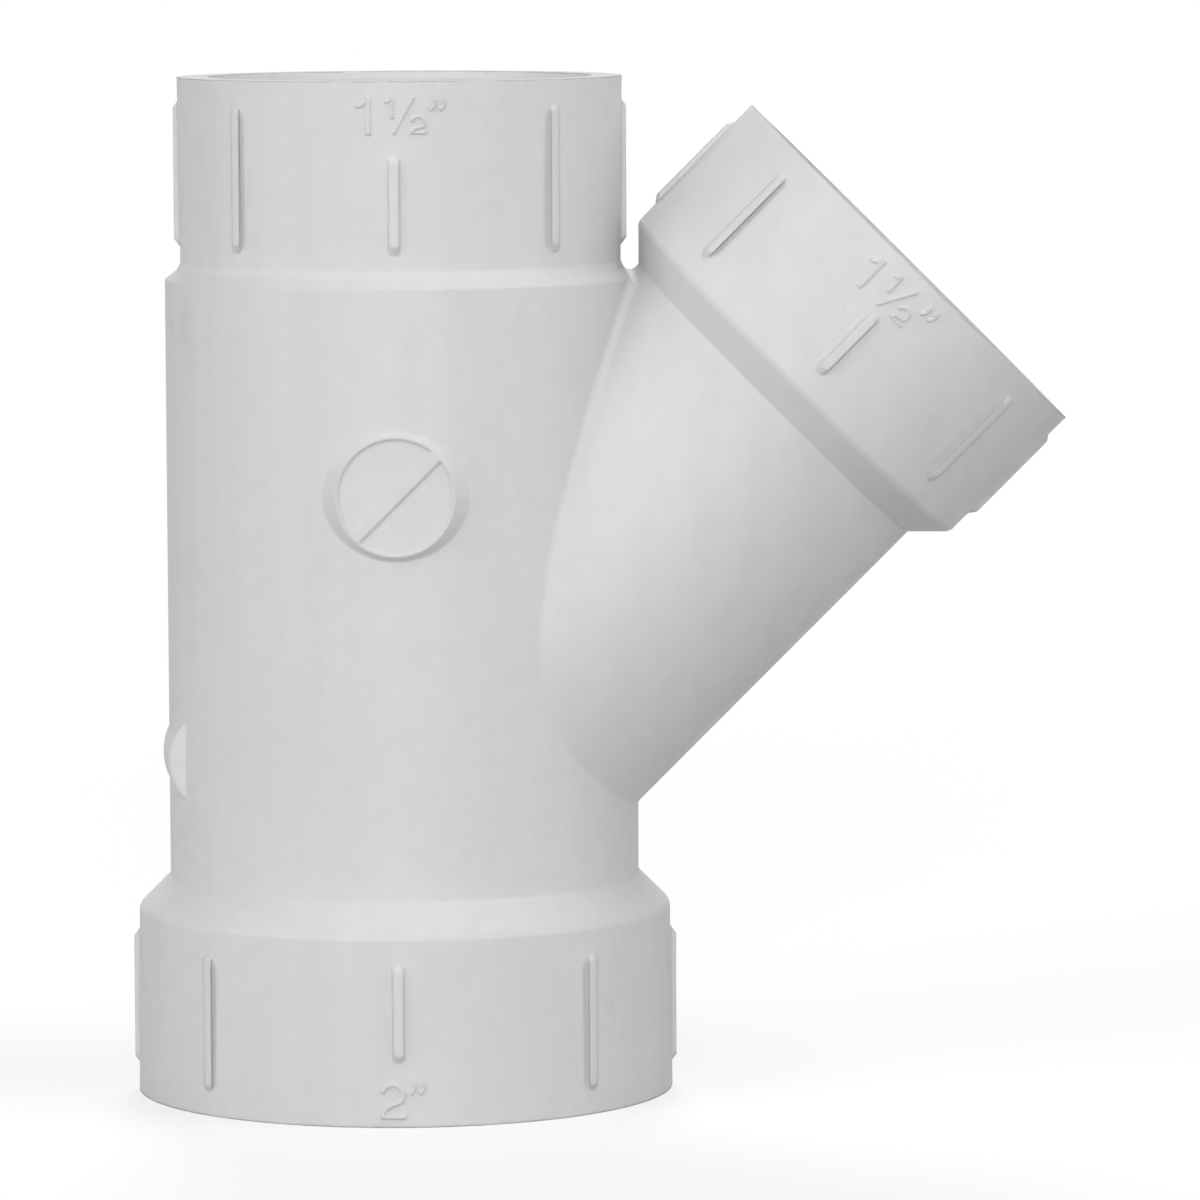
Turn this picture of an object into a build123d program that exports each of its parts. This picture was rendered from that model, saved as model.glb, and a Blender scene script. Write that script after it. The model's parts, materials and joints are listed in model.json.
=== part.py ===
# Lateral wye fitting for solvent-welded drain pipe, moulded in one piece.
# A straight run rises from a large outlet socket to a smaller inlet socket, and a branch with a
# socket of its own joins it on a slant. The origin is the centre of the outlet's mouth, +Z runs up
# the run's axis, the branch leans towards +X, and the mould opens along Y. Sizes are millimetres
# and degrees.
import os
from math import cos, pi, radians, sin, tan

from build123d import *

os.makedirs("parts", exist_ok=True)

# Layout: the distance from the point where the axes meet to each mouth.
branch_angle = 45.0
outlet_reach = 41.1
inlet_reach = 89.0
branch_reach = 92.0

# Pipes that the sockets take, and the play left on each side for the cement.
outlet_pipe_d = 60.33
inlet_pipe_d = 48.26
branch_pipe_d = 48.26
socket_play = 0.1

# Sockets: how far a pipe goes in before it meets its stop, and the flare that leads it in.
outlet_socket_depth = 19.05
inlet_socket_depth = 17.46
branch_socket_depth = 17.46
lead_in_depth = 1.0
lead_in_flare = 0.3
stop_bevel = 0.4

# Waterways. The run narrows to the inlet's bore through a cone just below the inlet's stop.
run_bore_d = 52.5
inlet_bore_d = 40.9
branch_bore_d = 40.9
inlet_stop_height = 2.8
reducer_slope = 45.0

# Walls, and the draft that lets each hub leave the mould.
body_wall = 3.9
hub_wall = 3.92
hub_draft = 0.6

# Outside length of each hub, and the shoulder that joins it to its tube.
outlet_hub_length = 23.8
inlet_hub_length = 24.2
branch_hub_length = 20.8
outlet_shoulder_slope = 45.0
inlet_shoulder_slope = 52.0
branch_shoulder_slope = 45.0
outlet_shoulder_bevel = 0.35
inlet_shoulder_bevel = 0.6
branch_shoulder_bevel = 0.35
junction_round = 0.9

# Grip ribs: low bars along each hub with ramped ends, evenly spaced from the front. Their sides
# follow the mould's opening. The front one stops short, which leaves room for the size figures.
rib_count = 8
rib_width = 1.5
rib_rise = 0.65
rib_ramp = 0.9
rib_draft = 8.0
rib_corner = 0.4
rib_to_mouth = 2.95
outlet_rib_length = 17.5
inlet_rib_length = 18.6
branch_rib_length = 14.6
outlet_figure_room = 5.1
inlet_figure_room = 6.2
branch_figure_room = 4.3

# Marking pad: a round boss with a bevelled side on the front of the body. Two half-moon recesses
# leave a thin rim and a slanted bar between them.
pad_height = 78.6
pad_d = 15.0
pad_rise = 0.75
pad_bevel = 38.5
pad_rim = 0.2
pad_recess = 0.3
pad_recess_draft = 40.0
pad_bar_width = 1.45
pad_bar_angle = 45.0

# Ejector pad: a round boss at the side of the body with a flat face, square to the mould's opening.
ejector_d = 13.6
ejector_offset = 22.8
ejector_height = 43.5
ejector_face = 12.6
ejector_draft = 6.2
ejector_bevel = 0.3

# Sizes that follow from the ones above.
run_bore_r = run_bore_d / 2
inlet_bore_r = inlet_bore_d / 2
branch_bore_r = branch_bore_d / 2
body_r = run_bore_r + body_wall
tube_r = branch_bore_r + body_wall
buried = body_wall / 2
front = Vector(0, -1, 0)
meeting = Vector(0, 0, outlet_reach)
lean = radians(branch_angle)
rib_crest_width = rib_width - 2 * rib_rise * tan(radians(rib_draft))


class Hub:
    """One socketed end. Its section plane has X across its axis and Y out through its mouth."""

    def __init__(
        self, direction, across, reach, pipe_d, depth, length, slope, bevel, neck_r, bore, rib, room
    ):
        self.reach = reach
        self.direction = Vector(direction)
        self.across = Vector(across)
        self.section = Plane(meeting, x_dir=across, z_dir=self.across.cross(self.direction))
        self.axis = Axis(meeting, self.direction)
        self.socket_r = pipe_d / 2 + socket_play
        self.stop = reach - depth
        self.shoulder = reach - length
        self.shoulder_r = self.socket_r + hub_wall
        self.mouth_r = self.shoulder_r + length * tan(radians(hub_draft))
        self.wall_r = (self.shoulder_r + self.mouth_r) / 2
        self.shoulder_corner = (self.shoulder_r, self.shoulder)
        self.bevel = bevel
        self.neck_r = neck_r
        self.neck = self.shoulder - abs(self.shoulder_r - neck_r) / tan(radians(slope))
        self.bore = bore
        self.rib = rib
        self.figure_room = room

    def outside(self):
        """Corners from the neck to the mouth, as radius and distance along the axis."""
        return [(self.neck_r, self.neck), self.shoulder_corner, (self.mouth_r, self.reach)]

    def waterway(self):
        """Corners of the bore and the socket, out to the flared mouth."""
        stop_r = self.bore[-1][0]
        return [
            *self.bore,
            (stop_r, self.stop),
            (self.socket_r, self.stop),
            (self.socket_r, self.reach - lead_in_depth),
            (self.socket_r + lead_in_flare, self.reach),
        ]


reducer_top = inlet_reach - inlet_socket_depth - inlet_stop_height
reducer_foot = reducer_top - (run_bore_r - inlet_bore_r) / tan(radians(reducer_slope))
outlet = Hub(
    (0, 0, -1), (1, 0, 0), outlet_reach, outlet_pipe_d, outlet_socket_depth,
    outlet_hub_length, outlet_shoulder_slope, outlet_shoulder_bevel, body_r,
    [(run_bore_r, 0)], outlet_rib_length, outlet_figure_room,
)
inlet = Hub(
    (0, 0, 1), (1, 0, 0), inlet_reach, inlet_pipe_d, inlet_socket_depth,
    inlet_hub_length, inlet_shoulder_slope, inlet_shoulder_bevel, body_r,
    [(run_bore_r, 0), (run_bore_r, reducer_foot), (inlet_bore_r, reducer_top)],
    inlet_rib_length, inlet_figure_room,
)
branch = Hub(
    (sin(lean), 0, cos(lean)), (cos(lean), 0, -sin(lean)), branch_reach, branch_pipe_d,
    branch_socket_depth, branch_hub_length, branch_shoulder_slope, branch_shoulder_bevel, tube_r,
    [(branch_bore_r, 0)], branch_rib_length, branch_figure_room,
)
hubs = (outlet, inlet, branch)


def grip_rib(length, skew):
    """A rib that stands on the XY plane and lies along Y. Its crest is moved along X by the skew."""
    crest_length = length - 2 * rib_ramp
    with BuildPart() as rib:
        with BuildSketch(Plane.XY) as base:
            Rectangle(rib_width, length)
            chamfer(base.vertices(), rib_corner)
        with BuildSketch(Plane.XY.offset(rib_rise)) as crest:
            with Locations((skew, 0)):
                Rectangle(rib_crest_width, crest_length)
            chamfer(crest.vertices(), rib_corner)
        loft()
        extrude(rib.faces().sort_by(Axis.Z)[0], amount=buried)
    return rib.part


def rib_plane(hub, turn, length, to_mouth):
    """The plane a rib stands on: Z out of the hub's wall, X around the hub, at the rib's middle."""
    outward = front * cos(turn) + hub.across * sin(turn)
    around = hub.across * cos(turn) - front * sin(turn)
    middle = hub.direction * (hub.reach - to_mouth - length / 2)
    return Plane(meeting + middle + outward * hub.wall_r, x_dir=around, z_dir=outward)


ejector_plane = Plane((-ejector_offset, -ejector_face, ejector_height), x_dir=(1, 0, 0), z_dir=front)
pad_face = Plane((0, -(body_r + pad_rise), pad_height), x_dir=(1, 0, 0), z_dir=front)

with BuildPart() as wye_fitting:
    # The outside: three tubes with their hubs, then the crease where the branch leaves the body.
    for hub in hubs:
        with BuildSketch(hub.section) as outline:
            with BuildLine():
                Polyline((0, 0), (hub.neck_r, 0), *hub.outside(), (0, hub.reach), close=True)
            make_face()
            chamfer(outline.vertices().sort_by_distance(hub.shoulder_corner)[0], hub.bevel)
        revolve(axis=hub.axis)
    fillet(wye_fitting.edges(Select.NEW), junction_round)

    # The ribs.
    for hub in hubs:
        for number in range(rib_count):
            turn = 2 * pi * number / rib_count
            room = 0 if number else hub.figure_room
            length = hub.rib - room
            with Locations(rib_plane(hub, turn, length, rib_to_mouth + room)):
                add(grip_rib(length, -rib_rise * sin(2 * turn)))

    # The marking pad, with its bevel widening into the wall.
    with BuildSketch(pad_face):
        Circle(pad_d / 2)
    extrude(amount=-(pad_rise + buried), taper=-pad_bevel)
    with BuildSketch(pad_face):
        Circle(pad_d / 2 - pad_rim)
        Rectangle(pad_d, pad_bar_width, rotation=pad_bar_angle, mode=Mode.SUBTRACT)
    extrude(amount=-pad_recess, taper=pad_recess_draft, mode=Mode.SUBTRACT)

    # The ejector pad, from its flat face back to the mould's parting plane.
    with BuildSketch(ejector_plane):
        Circle(ejector_d / 2)
    extrude(amount=-ejector_face, taper=-ejector_draft)
    flat = wye_fitting.faces().filter_by(ejector_plane).sort_by_distance(ejector_plane.origin)[0]
    chamfer(flat.edges().filter_by(GeomType.CIRCLE), ejector_bevel)

    # The waterways.
    for hub in hubs:
        with BuildSketch(hub.section) as hollow:
            with BuildLine():
                Polyline((0, 0), *hub.waterway(), (0, hub.reach), close=True)
            make_face()
            stop_edge = (hub.bore[-1][0], hub.stop)
            chamfer(hollow.vertices().sort_by_distance(stop_edge)[0], stop_bevel)
        revolve(axis=hub.axis, mode=Mode.SUBTRACT)

wye_fitting.part.label = "wye_fitting"
export_step(wye_fitting.part, "parts/wye_fitting.step")
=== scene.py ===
import json
from math import cos, pi, radians, sin

import bpy
from mathutils import Matrix, Vector
from mathutils.bvhtree import BVHTree


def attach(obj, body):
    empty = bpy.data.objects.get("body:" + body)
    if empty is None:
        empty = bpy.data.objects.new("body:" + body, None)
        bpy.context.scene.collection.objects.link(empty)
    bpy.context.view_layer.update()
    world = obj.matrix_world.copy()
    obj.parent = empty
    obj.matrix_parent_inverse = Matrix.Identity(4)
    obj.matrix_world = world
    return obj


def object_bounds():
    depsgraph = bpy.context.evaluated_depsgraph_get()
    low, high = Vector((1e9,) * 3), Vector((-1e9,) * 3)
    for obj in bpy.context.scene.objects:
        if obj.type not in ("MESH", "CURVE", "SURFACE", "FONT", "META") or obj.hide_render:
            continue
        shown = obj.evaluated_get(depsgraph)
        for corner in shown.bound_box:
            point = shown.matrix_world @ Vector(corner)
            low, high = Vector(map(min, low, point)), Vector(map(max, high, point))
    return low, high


mm = 0.001

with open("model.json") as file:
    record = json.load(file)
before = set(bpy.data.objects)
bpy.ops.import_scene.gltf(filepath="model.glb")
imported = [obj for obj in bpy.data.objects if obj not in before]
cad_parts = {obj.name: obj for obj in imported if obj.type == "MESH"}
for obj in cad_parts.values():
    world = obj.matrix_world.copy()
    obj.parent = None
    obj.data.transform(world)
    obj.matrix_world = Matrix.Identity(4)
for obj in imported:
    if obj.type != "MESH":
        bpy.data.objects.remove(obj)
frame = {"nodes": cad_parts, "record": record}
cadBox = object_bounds()
fitting = frame["nodes"]["wye_fitting"]
wall = BVHTree.FromObject(fitting, bpy.context.evaluated_depsgraph_get())
mounts = {mount["name"]: mount for mount in frame["record"]["mounts"]}
print(f"frame: loaded, {len(mounts)} sockets")


# A node's output, with arithmetic that adds the maths nodes it needs.
class Wire:
    def __init__(self, tree, socket):
        self.tree = tree
        self.socket = socket

    def maths(self, kind, *values):
        return addNode(self.tree, "ShaderNodeMath", {"operation": kind}, dict(enumerate(values)))

    def __add__(self, other):
        return self.maths("ADD", self, other)

    def __radd__(self, other):
        return self.maths("ADD", other, self)

    def __sub__(self, other):
        return self.maths("SUBTRACT", self, other)

    def __rsub__(self, other):
        return self.maths("SUBTRACT", other, self)

    def __mul__(self, other):
        return self.maths("MULTIPLY", self, other)

    def __rmul__(self, other):
        return self.maths("MULTIPLY", other, self)

    # The larger and the smaller of two values.
    def atLeast(self, other):
        return self.maths("MAXIMUM", self, other)

    def atMost(self, other):
        return self.maths("MINIMUM", self, other)

    # The length of this vector's shadow on another one.
    def along(self, direction):
        settings = {"operation": "DOT_PRODUCT"}
        inputs = {0: self, 1: direction}
        return addNode(self.tree, "ShaderNodeVectorMath", settings, inputs, output="Value")

    # 0 below low and 1 above high, with a soft step between.
    def step(self, low, high):
        settings = {"interpolation_type": "SMOOTHSTEP"}
        return addNode(self.tree, "ShaderNodeMapRange", settings, {"Value": self, 1: low, 2: high})

    # A colour that goes from one to another as this value goes from 0 to 1.
    def blend(self, start, end):
        inputs = {"Factor": self, 6: start, 7: end}
        return addNode(self.tree, "ShaderNodeMix", {"data_type": "RGBA"}, inputs, output=2)


# Adds any node: its settings first, then values or wires for its inputs. Gives back one output.
def addNode(tree, kind, settings=None, inputs=None, output=0):
    made = tree.nodes.new(kind)
    for name, value in (settings or {}).items():
        setattr(made, name, value)
    for name, value in (inputs or {}).items():
        if isinstance(value, Wire):
            tree.links.new(value.socket, made.inputs[name])
        else:
            made.inputs[name].default_value = value
    return Wire(tree, made.outputs[output]) if len(made.outputs) else None


def newMaterial(name):
    made = bpy.data.materials.new(name)
    made.use_nodes = True
    made.node_tree.nodes.clear()
    return made, made.node_tree


# How far the fitting reaches along each socket's axis, which is where its mouth lies.
axes = {name: Vector(mount["axis"]).normalized() for name, mount in mounts.items()}
places = [vertex.co for vertex in fitting.data.vertices]
mouthReach = {name: max(place.dot(axis) for place in places) for name, axis in axes.items()}

# Satin white plastic, as it leaves the mould. Lengths are in millimetres.
plastic = {
    "colour": (0.638, 0.638, 0.639, 1),
    "shadeColour": (0.594, 0.594, 0.594, 1),
    "speckColour": (0.36, 0.35, 0.33, 1),
    # the painted shadow of the burr, a dark line along each mouth's rim
    "rimShadowColour": (0.30, 0.30, 0.29, 1),
    "patterns": {
        "cloud": {"pitch": 24.0, "detail": 4.0, "distortion": 0.4},
        "mottle": {"pitch": 2.6, "detail": 3.0},
        "streak": {"pitch": 5.0, "detail": 3.0, "stretch": (1, 1, 0.06)},
        "grain": {"pitch": 0.5},
        "rubbed": {"pitch": 24.0, "detail": 1.0, "distortion": 0.6},
        "scuff": {"pitch": 3.5, "detail": 5.0, "stretch": (1, 1, 0.22), "distortion": 1.4},
        "speck": {"pitch": 15.0},
        "nick": {"pitch": 3.4, "detail": 4.0, "distortion": 1.0},
    },
    # The value at which a pattern begins to show, and the one at which it shows in full.
    "ranges": {
        "cloud": (0.45, 0.8),
        "mottle": (0.35, 0.7),
        "streak": (0.35, 0.7),
        "rubbed": (0.55, 0.7),
        "scuff": (0.55, 0.7),
        "speck": (0.35, 0.75),
        "nick": (0.35, 0.7),
    },
    "shadeAmounts": {"cloud": 0.30, "mottle": 0.30, "streak": 0.35},
    "scuffAmount": 0.3,
    "speckAmount": 0.5,
    "speckSize": 0.16,
    "speckSpacing": 9.0,
    "speckSoftness": 0.054,
    # the painted burr shadow at each mouth: how strong, how deep from the mouth and how soft
    "rimShadowAmount": 0.4,
    "rimShadowDepth": 0.22,
    "rimShadowSoftness": 0.06,
    "nickDepth": 0.7,
    "mouthFace": (0.4, 0.8),  # the cosines of a face to the hub's axis, from the wall to the mouth
    "trimDepth": 0.1,
    "trimSoftness": 0.02,
    "edge": 0.5,
    "edgeSamples": 6,
    "roughness": 0.5,
    "roughnessSwing": 0.12,
    "scuffRoughness": 0.16,
    "trimRoughness": 0.45,
    "specular": 0.3,
    "ripple": 0.05,
    "grainHeight": 0.005,
    "scuffDepth": 0.008,
}


def plasticMaterial():
    made, tree = newMaterial("moulded white plastic")
    place = addNode(tree, "ShaderNodeTexCoord", output="Object")

    def noise(pitch, detail=2.0, stretch=(1, 1, 1), distortion=0.0):
        spot = addNode(tree, "ShaderNodeMapping", {}, {"Vector": place, "Scale": stretch})
        inputs = {"Vector": spot, "Scale": 1 / (pitch * mm), "Detail": detail, "Distortion": distortion}
        return addNode(tree, "ShaderNodeTexNoise", {}, inputs)

    raw = {name: noise(**pattern) for name, pattern in plastic["patterns"].items()}
    shown = {name: raw[name].step(*limits) for name, limits in plastic["ranges"].items()}
    scuff = shown["scuff"] * shown["rubbed"]

    # Specks stand in some of the cells, no more than one in each, and vary in size.
    cells = {"Vector": place, "Scale": 1 / (plastic["speckSpacing"] * mm), "Randomness": 1.0}
    nearest = addNode(tree, "ShaderNodeTexVoronoi", {}, cells, output="Distance")
    size = plastic["speckSize"] / plastic["speckSpacing"] * shown["speck"]
    speck = (size - nearest).step(0, plastic["speckSoftness"] / plastic["speckSpacing"])

    # The wall's last edge at each mouth gets an uneven dark line, a painted shadow of the burr there,
    # not a colour of the plastic. The mouth's own face is clean,
    #     # but rougher, as a trimmed edge is.
    nick = shown["nick"] * plastic["nickDepth"] + (1 - plastic["nickDepth"])
    facing = addNode(tree, "ShaderNodeNewGeometry", output="True Normal")
    rimShadow = 0.0
    trimmed = 0.0
    for name, axis in axes.items():
        inset = mouthReach[name] - place.along(axis)
        onWall = 1 - facing.along(axis).step(*plastic["mouthFace"])
        uneven = plastic["rimShadowDepth"] * mm * nick - inset
        # painted shadow of the burr: a dark band whose depth from the mouth is uneven
        rimShadow = uneven.step(0, plastic["rimShadowSoftness"] * mm) * onWall + rimShadow
        trimmed = (plastic["trimDepth"] * mm - inset).step(0, plastic["trimSoftness"] * mm) + trimmed

    shade = scuff * plastic["scuffAmount"]
    for name, amount in plastic["shadeAmounts"].items():
        shade = shown[name] * amount + shade
    colour = shade.atMost(1.0).blend(plastic["colour"], plastic["shadeColour"])
    colour = (speck * plastic["speckAmount"]).blend(colour, plastic["speckColour"])
    # painted shadow of the burr, laid into the colour along each mouth's rim
    colour = (rimShadow.atMost(1.0) * plastic["rimShadowAmount"]).blend(colour, plastic["rimShadowColour"])
    rough = (plastic["roughness"] + (raw["streak"] - 0.5) * plastic["roughnessSwing"]
             + scuff * plastic["scuffRoughness"] + trimmed * plastic["trimRoughness"])
    height = raw["cloud"] * plastic["ripple"] + raw["grain"] * plastic["grainHeight"]
    height = (height - scuff * plastic["scuffDepth"]) * mm
    edge = {"Radius": plastic["edge"] * mm}
    softEdge = addNode(tree, "ShaderNodeBevel", {"samples": plastic["edgeSamples"]}, edge)
    bump = addNode(tree, "ShaderNodeBump", {}, {"Height": height, "Distance": 1.0, "Normal": softEdge})
    inputs = {"Base Color": colour, "Roughness": rough, "Normal": bump}
    inputs["Specular IOR Level"] = plastic["specular"]
    shader = addNode(tree, "ShaderNodeBsdfPrincipled", {}, inputs)
    addNode(tree, "ShaderNodeOutputMaterial", {}, {"Surface": shader})
    return made


finish = plasticMaterial()
fitting.data.materials.clear()
fitting.data.materials.append(finish)
print("plastic: the fitting has its material")


# Adds a mesh object, smooth or flat, with one material.
def addMesh(name, vertices, faces, material, smooth=False):
    mesh = bpy.data.meshes.new(name)
    mesh.from_pydata(vertices, [], faces)
    if smooth:
        mesh.shade_smooth()
    mesh.materials.append(material)
    made = bpy.data.objects.new(name, mesh)
    bpy.context.scene.collection.objects.link(made)
    return made


# Raised size figures, in millimetres. Each glyph is drawn as strokes on a flat field, with X to the
# right and Y up, and then wrapped round its hub. A stroke is a width and the points along its middle.
relief = {
    "rise": 0.30,
    "sunk": 0.10,
    "pointGap": 0.12,
    "arcStep": 12,  # degrees
    "curveSteps": 10,
    "tailSteps": 5,
    "headTurns": (172, -38),  # degrees, from the tip of the 2 to where its swing begins
    # Half of a stroke's rounded section, from its foot to its crown: shares of half its width and of
    # its rise.
    "section": [(1.0, 0.0), (0.82, 0.62), (0.5, 0.93), (0.0, 1.0)],
    "clearance": 1.5,  # where the rays to the wall start, in socket radii from the axis
}


def line(start, end):
    return [Vector(start), Vector(end)]


def arc(centre, radius, start, end):
    steps = max(2, round(abs(end - start) / relief["arcStep"]))
    turns = [radians(start + (end - start) * number / steps) for number in range(steps + 1)]
    return [Vector((centre[0] + radius * cos(turn), centre[1] + radius * sin(turn))) for turn in turns]


def curve(*corners, steps=relief["curveSteps"]):
    points = [Vector(corner) for corner in corners]
    made = []
    for number in range(steps + 1):
        t = number / steps
        shares = ((1 - t) ** 3, 3 * t * (1 - t) ** 2, 3 * t * t * (1 - t), t ** 3)
        made.append(sum((point * share for point, share in zip(points, shares)), Vector((0, 0))))
    return made


# A stem, and a flag that hangs from its top to the left.
def drawOne(left, base, width, height, bold):
    right = left + width - bold / 2
    top = base + height
    flagBold = bold * 0.62
    flagFoot = top - height * 0.25
    tip = (left, flagFoot)
    belly = (right - width * 0.35, flagFoot)
    bend = (right - bold * 0.4, top - height * 0.16)
    root = (right - bold * 0.2, top - flagBold / 2)
    return [(bold, line((right, base), (right, top))), (flagBold, curve(tip, belly, bend, root))]


# A round head that swings down to a straight foot.
def drawTwo(left, base, width, height, bold):
    half = width / 2 - bold / 2
    middle = (left + width / 2, base + height - bold / 2 - half)
    head = arc(middle, half, *relief["headTurns"])
    foot = (left + bold / 2, base + bold / 2)
    waist = (middle[0] + half * 0.25, middle[1] - height * 0.24)
    heel = (foot[0], foot[1] + height * 0.26)
    swing = curve(head[-1], waist, heel, foot)
    return [
        (bold, head + swing[1:]),
        (bold, line((left + bold * 0.3, foot[1]), (left + width, foot[1]))),
    ]


def drawSlash(left, base, width, height, bold):
    return [(bold, line((left, base), (left + width, base + height)))]


# Two fat commas, each a blob with a thinner tail that curves down to the left.
def drawInch(left, base, width, height, bold):
    strokes = []
    tailBold = bold * 0.6
    spacing = width * 0.52
    for number in range(2):
        x = left + bold * 0.6 + number * spacing
        y = base + height - bold * 0.55
        neck = (x + bold * 0.2, y)
        belly = (x + bold * 0.35, y - height * 0.35)
        bend = (x, y - height * 0.5)
        tip = (x - bold * 0.4, base)
        strokes.append((bold, line((x - bold * 0.12, y), (x + bold * 0.12, y))))
        strokes.append((tailBold, curve(neck, belly, bend, tip, steps=relief["tailSteps"])))
    return strokes


oneAndAHalf = [
    {"draw": drawOne, "left": -4.7, "base": 0.0, "width": 1.95, "height": 4.7, "bold": 0.85},
    {"draw": drawOne, "left": -1.05, "base": 2.0, "width": 1.15, "height": 2.7, "bold": 0.55},
    {"draw": drawSlash, "left": -0.05, "base": 0.05, "width": 2.55, "height": 4.6, "bold": 0.5},
    {"draw": drawTwo, "left": 2.0, "base": 0.0, "width": 2.1, "height": 2.5, "bold": 0.5},
    {"draw": drawInch, "left": 4.4, "base": 3.0, "width": 2.25, "height": 1.85, "bold": 0.95},
]
two = [
    {"draw": drawTwo, "left": -2.45, "base": 0.0, "width": 3.35, "height": 4.8, "bold": 0.72},
    {"draw": drawInch, "left": 1.25, "base": 3.25, "width": 2.2, "height": 1.85, "bold": 0.95},
]

# Where each figure stands: how far its foot is from the mouth, how far it is moved to the right of
# the front line, and whether its top points out through the mouth (1) or back along the hub (-1).
hubFigures = {
    "inlet": {"mount": "inlet_socket", "up": 1, "across": 0.0, "base": 6.6, "glyphs": oneAndAHalf},
    "branch": {"mount": "branch_socket", "up": 1, "across": -0.8, "base": 6.5, "glyphs": oneAndAHalf},
    "outlet": {"mount": "outlet_socket", "up": -1, "across": 0.0, "base": 1.0, "glyphs": two},
}
front = Vector((0, -1, 0))


# Points along a path, about one gap apart.
def refine(points, gap):
    made = [points[0]]
    for start, end in zip(points, points[1:]):
        steps = max(1, round((end - start).length / gap))
        made += [start.lerp(end, number / steps) for number in range(1, steps + 1)]
    return made


# The wall's place at an inset from the mouth and a turn from the front, and the way out of it there.
def wallPoint(hub, inset, turn):
    outwards = front * cos(turn) + hub["right"] * sin(turn)
    start = hub["mouth"] - hub["axis"] * inset + outwards * hub["outside"]
    return wall.ray_cast(start, -outwards)[0], outwards


# The place on the hub for a point of the flat field, at a height over the wall.
def wrapPoint(hub, point, height):
    inset = (hub["base"] - point[1] * hub["up"]) * mm
    turn = (point[0] + hub["across"]) * mm / hub["wall"]
    hit, outwards = wallPoint(hub, inset, turn)
    return hit + outwards * height * mm


# One stroke: a rounded ridge along its path, closed by a fan down to a sunken point at each end.
def strokeMesh(hub, width, points, vertices, faces):
    path = refine(points, relief["pointGap"])
    half = relief["section"]
    sides = [(-share, rise) for share, rise in half] + half[-2::-1]
    count = len(sides)
    first = len(vertices)
    for number, point in enumerate(path):
        forward = (path[min(number + 1, len(path) - 1)] - path[max(number - 1, 0)]).normalized()
        across = Vector((-forward[1], forward[0]))
        for share, rise in sides:
            height = relief["rise"] * rise if rise else -relief["sunk"]
            vertices.append(wrapPoint(hub, point + across * share * width / 2, height))
    for row in range(len(path) - 1):
        for column in range(count - 1):
            corner = first + row * count + column
            faces.append((corner, corner + count, corner + count + 1, corner + 1))
    for point, corner, step in ((path[0], first, 1), (path[-1], len(vertices) - 1, -1)):
        tip = len(vertices)
        vertices.append(wrapPoint(hub, point, -relief["sunk"]))
        for column in range(count - 1):
            faces.append((tip, corner + column * step, corner + (column + 1) * step))


def addFigure(name, mount, up, across, base, glyphs):
    axis = axes[mount]
    centre = Vector(mounts[mount]["pos_m"])
    socket = mounts[mount]["dims"]["r_mm"] * mm
    hub = {"axis": axis, "up": up, "across": across, "base": base}
    hub["mouth"] = centre + axis * (mouthReach[mount] - axis.dot(centre))
    hub["right"] = (axis * up).cross(front)
    hub["outside"] = socket * relief["clearance"]
    foot = wallPoint(hub, base * mm, across * mm / socket)[0]
    hub["wall"] = foot.dot(front)  # the wall's own radius, as the socket's is smaller
    vertices = []
    faces = []
    for glyph in glyphs:
        sizes = {key: value for key, value in glyph.items() if key != "draw"}
        for width, points in glyph["draw"](**sizes):
            strokeMesh(hub, width, points, vertices, faces)
    made = addMesh(f"{name}_figure", vertices, faces, finish, smooth=True)
    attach(made, "root")
    print(f"figures: {name} has {len(faces)} faces")


for name, figure in hubFigures.items():
    addFigure(name, **figure)


# Floor and world, both white to the camera. The floor still takes the object's shadow.
studio = {
    "floorSize": 12.0,
    "floorColour": (0.35, 0.35, 0.35, 1),
    "floorGlow": 0.64,
    "surroundings": 0.27,
    "white": (1, 1, 1, 1),
}


# 1 for what the camera sees, in the open or in a reflection, and 0 for light on its way.
def seenDirectly(tree):
    rays = ("Is Camera Ray", "Is Glossy Ray", "Is Transmission Ray")
    camera, glossy, through = (addNode(tree, "ShaderNodeLightPath", output=ray) for ray in rays)
    return camera.atLeast(glossy).atLeast(through)


def addFloor():
    made, tree = newMaterial("studio floor")
    seen = seenDirectly(tree)
    paper = addNode(tree, "ShaderNodeBsdfDiffuse", {}, {"Color": studio["floorColour"]})
    strength = seen * studio["floorGlow"]
    glow = addNode(tree, "ShaderNodeEmission", {}, {"Color": studio["white"], "Strength": strength})
    both = addNode(tree, "ShaderNodeAddShader", {}, {0: paper, 1: glow})
    addNode(tree, "ShaderNodeOutputMaterial", {}, {"Surface": both})
    half = studio["floorSize"] / 2
    level = cadBox[0][2]
    corners = [(-half, -half, level), (half, -half, level), (half, half, level), (-half, half, level)]
    addMesh("floor", corners, [(0, 1, 2, 3)], made)


def addWorld():
    world = bpy.data.worlds.new("studio")
    world.use_nodes = True
    tree = world.node_tree
    tree.nodes.clear()
    seen = seenDirectly(tree)
    level = studio["surroundings"] + (1 - studio["surroundings"]) * seen
    back = addNode(tree, "ShaderNodeBackground", {}, {"Color": studio["white"], "Strength": level})
    addNode(tree, "ShaderNodeOutputWorld", {}, {"Surface": back})
    bpy.context.scene.world = world


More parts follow.
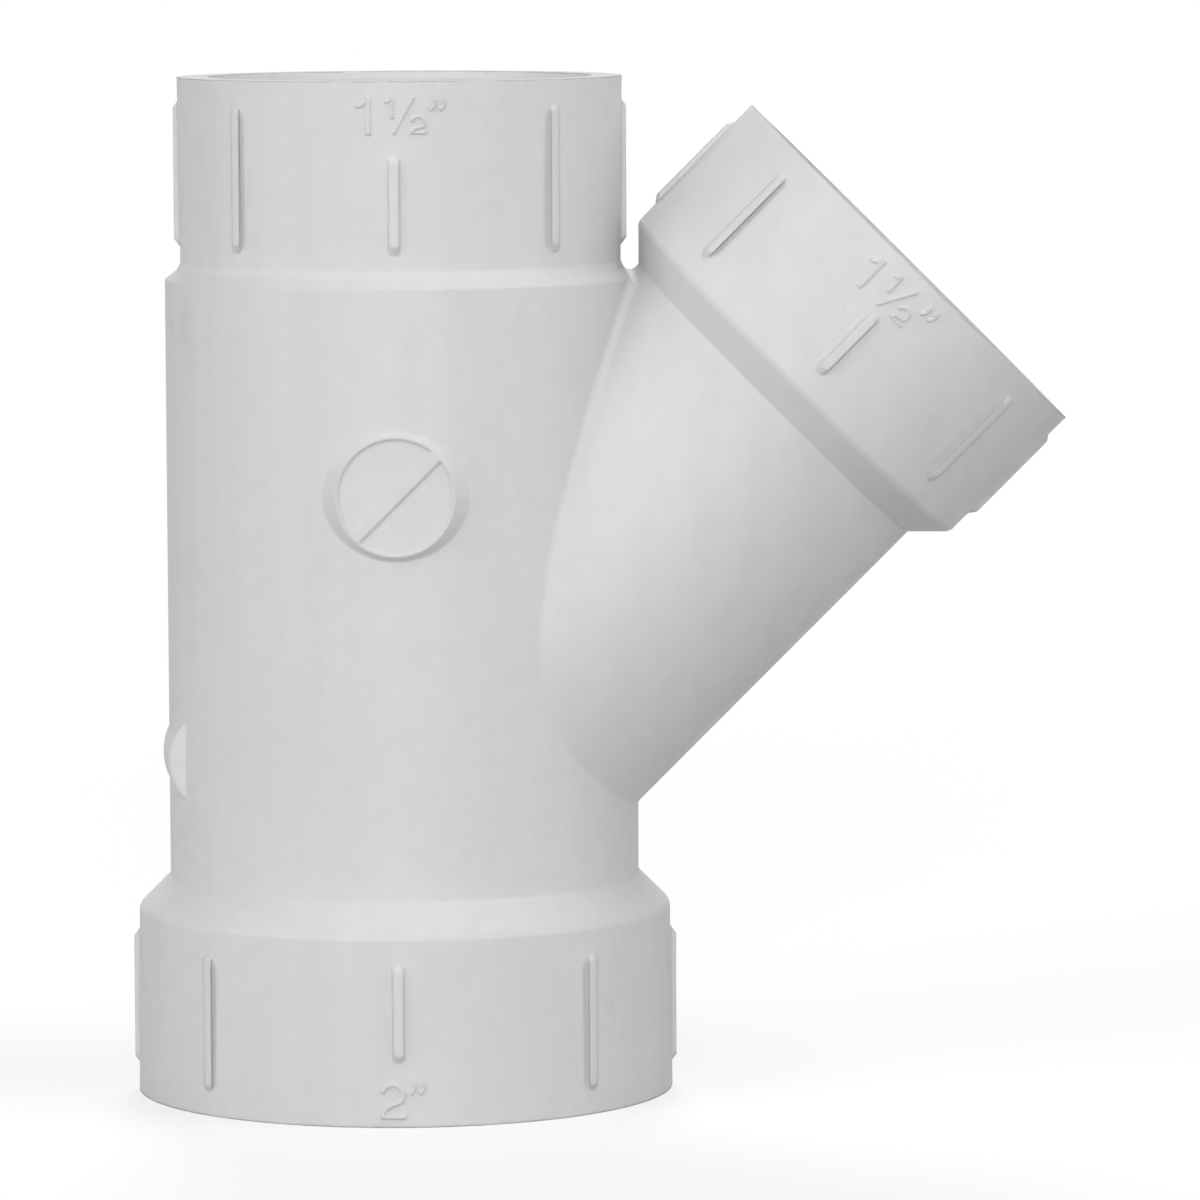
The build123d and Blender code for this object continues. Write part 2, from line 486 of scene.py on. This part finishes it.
# Soft lamps: degrees to the right of the front, degrees up, and level, where 1 alone would show a
# colour as it is written on a wall that faces the lamp. Softness is the lamp's width in degrees.
lamps = {
    "front": {"around": 0, "up": 8, "level": 0.60, "softness": 34},
    "leftFront": {"around": -50, "up": 30, "level": 0.26, "softness": 34},
    "left": {"around": -75, "up": 8, "level": 0.10, "softness": 34},
    "right": {"around": 75, "up": 8, "level": 0.17, "softness": 34},
    "rightHigh": {"around": 75, "up": 60, "level": 0.27, "softness": 34},
    "back": {"around": 180, "up": 42, "level": 0.42, "softness": 20},
}


def addLamp(name, around, up, level, softness):
    data = bpy.data.lights.new(name, "SUN")
    data.energy = level * pi
    data.angle = radians(softness)
    turn = radians(around)
    climb = radians(up)
    heading = Vector((sin(turn) * cos(climb), -cos(turn) * cos(climb), sin(climb)))
    lamp = bpy.data.objects.new(name, data)
    lamp.location = heading
    lamp.rotation_euler = heading.to_track_quat("Z", "Y").to_euler()
    bpy.context.scene.collection.objects.link(lamp)


addFloor()
addWorld()
for name, lamp in lamps.items():
    addLamp(name, **lamp)
print(f"studio: {len(lamps)} lamps")

# The camera: its place, its turns in degrees from level and straight ahead, its lens and sensor and
# the nearest thing it sees, in millimetres.
camera = {
    "place": (0.02604, -0.94236, 0.1533),
    "down": 5.489,
    "right": -0.043,
    "roll": -0.260,
    "lens": 220.93,
    "sensor": 36.0,
    "nearest": 10.0,
}


def addCamera():
    data = bpy.data.cameras.new("camera")
    data.sensor_width = camera["sensor"]
    data.lens = camera["lens"]
    data.clip_start = camera["nearest"] * mm
    made = bpy.data.objects.new("camera", data)
    turn = Matrix.Rotation(radians(-camera["right"]), 4, "Z")
    tilt = Matrix.Rotation(radians(90 - camera["down"]), 4, "X")
    roll = Matrix.Rotation(radians(camera["roll"]), 4, "Z")
    made.matrix_world = Matrix.Translation(camera["place"]) @ turn @ tilt @ roll
    bpy.context.scene.collection.objects.link(made)
    bpy.context.scene.camera = made


addCamera()
bpy.context.scene.view_settings.view_transform = "Standard"
print("camera: set")
